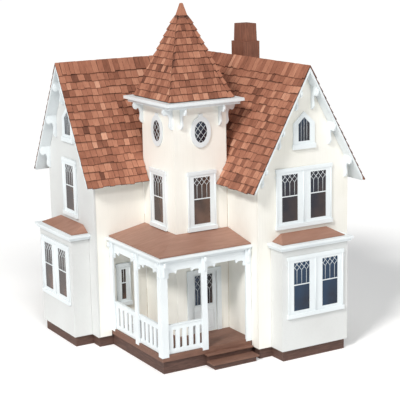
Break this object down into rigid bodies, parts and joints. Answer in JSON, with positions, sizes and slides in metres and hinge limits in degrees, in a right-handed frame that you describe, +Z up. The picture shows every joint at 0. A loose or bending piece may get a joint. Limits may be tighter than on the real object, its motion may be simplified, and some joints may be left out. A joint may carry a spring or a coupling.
{
  "type": "wooden dollhouse",
  "caption": "Half-inch scale wooden Victorian dollhouse: gabled wings in an L, corner tower, box bays, wraparound porch and an open back.",
  "frame": {"origin": "middle of the whole house's footprint, over bay cornices, eaves and rakes, on the surface that it stands on", "axes": "+Z up, +X to the right along the front gable, +Y to the back, so the front gable, the bay and the steps face -Y"},
  "size_m": [0.416, 0.4252, 0.5575],
  "materials": {
    "wall_paint": "plywood with cream satin paint",
    "trim_paint": "plywood and basswood with white satin paint",
    "porch_stain": "plywood with dark brown matt stain",
    "roof_stain": "plywood with light brown matt paint",
    "chimney_stain": "solid wood with red-brown matt stain",
    "birch": "bare birch plywood, lightly sealed",
    "glazing": "clear smooth sheet",
    "shingle_wood": "split cedar shingles with red-brown stain",
    "brass": "polished miniature hardware"
  },
  "bodies": {
    "house": {"front_wall": "wall_paint", "left_gable_wall": "wall_paint", "wing_side_wall": "wall_paint", "left_front_wall": "wall_paint", "right_wall": "wall_paint", "tower_front_wall": "wall_paint", "tower_left_wall": "wall_paint", "tower_rear_walls": "wall_paint", "front_bay": "wall_paint", "left_bay": "wall_paint", "front_wing_roof_right": "trim_paint", "front_wing_roof_left": "trim_paint", "left_wing_roof_front": "trim_paint", "left_wing_roof_rear": "trim_paint", "rear_gable_roof_left": "trim_paint", "tower_roof": "trim_paint", "tower_cornice": "trim_paint", "front_bay_cornice": "trim_paint", "left_bay_cornice": "trim_paint", "front_middle_post": "trim_paint", "front_wall_post": "trim_paint", "side_middle_post": "trim_paint", "side_wall_post": "trim_paint", "corner_post": "trim_paint", "front_railing": "trim_paint", "side_railing_rear": "trim_paint", "side_railing_front": "trim_paint", "porch_frieze_front": "trim_paint", "porch_frieze_side": "trim_paint", "porch_cornice": "trim_paint", "front_double_window": "trim_paint", "front_bay_window": "trim_paint", "left_bay_window": "trim_paint", "left_upper_window": "trim_paint", "tower_front_window": "trim_paint", "tower_side_window": "trim_paint", "right_lower_window": "trim_paint", "right_upper_window": "trim_paint", "porch_window": "trim_paint", "front_attic_window": "trim_paint", "left_attic_window": "trim_paint", "tower_front_oval": "trim_paint", "tower_side_oval": "trim_paint", "door_frame": "trim_paint", "foundation": "porch_stain", "porch_deck": "porch_stain", "porch_steps": "porch_stain", "front_bay_roof": "roof_stain", "left_bay_roof": "roof_stain", "porch_roof": "roof_stain", "chimney": "chimney_stain", "ground_floor": "birch", "second_floor": "birch", "attic_floor": "birch", "front_double_glass": "glazing", "front_bay_glass": "glazing", "left_bay_glass": "glazing", "tower_front_glass": "glazing"},
    "left_leaf": {"left_door_leaf": "trim_paint"},
    "right_leaf": {"right_door_leaf": "trim_paint"}
  },
  "joints": [
    {"name": "left_leaf_hinge", "type": "hinge", "parent": "house", "child": "left_leaf", "pos_m": [-0.0511, -0.0804, 0.08], "axis": [0, 0, 1], "range_deg": [0, 95]},
    {"name": "right_leaf_hinge", "type": "hinge", "parent": "house", "child": "right_leaf", "pos_m": [-0.0043, -0.0804, 0.08], "axis": [0, 0, -1], "range_deg": [0, 95]}
  ]
}
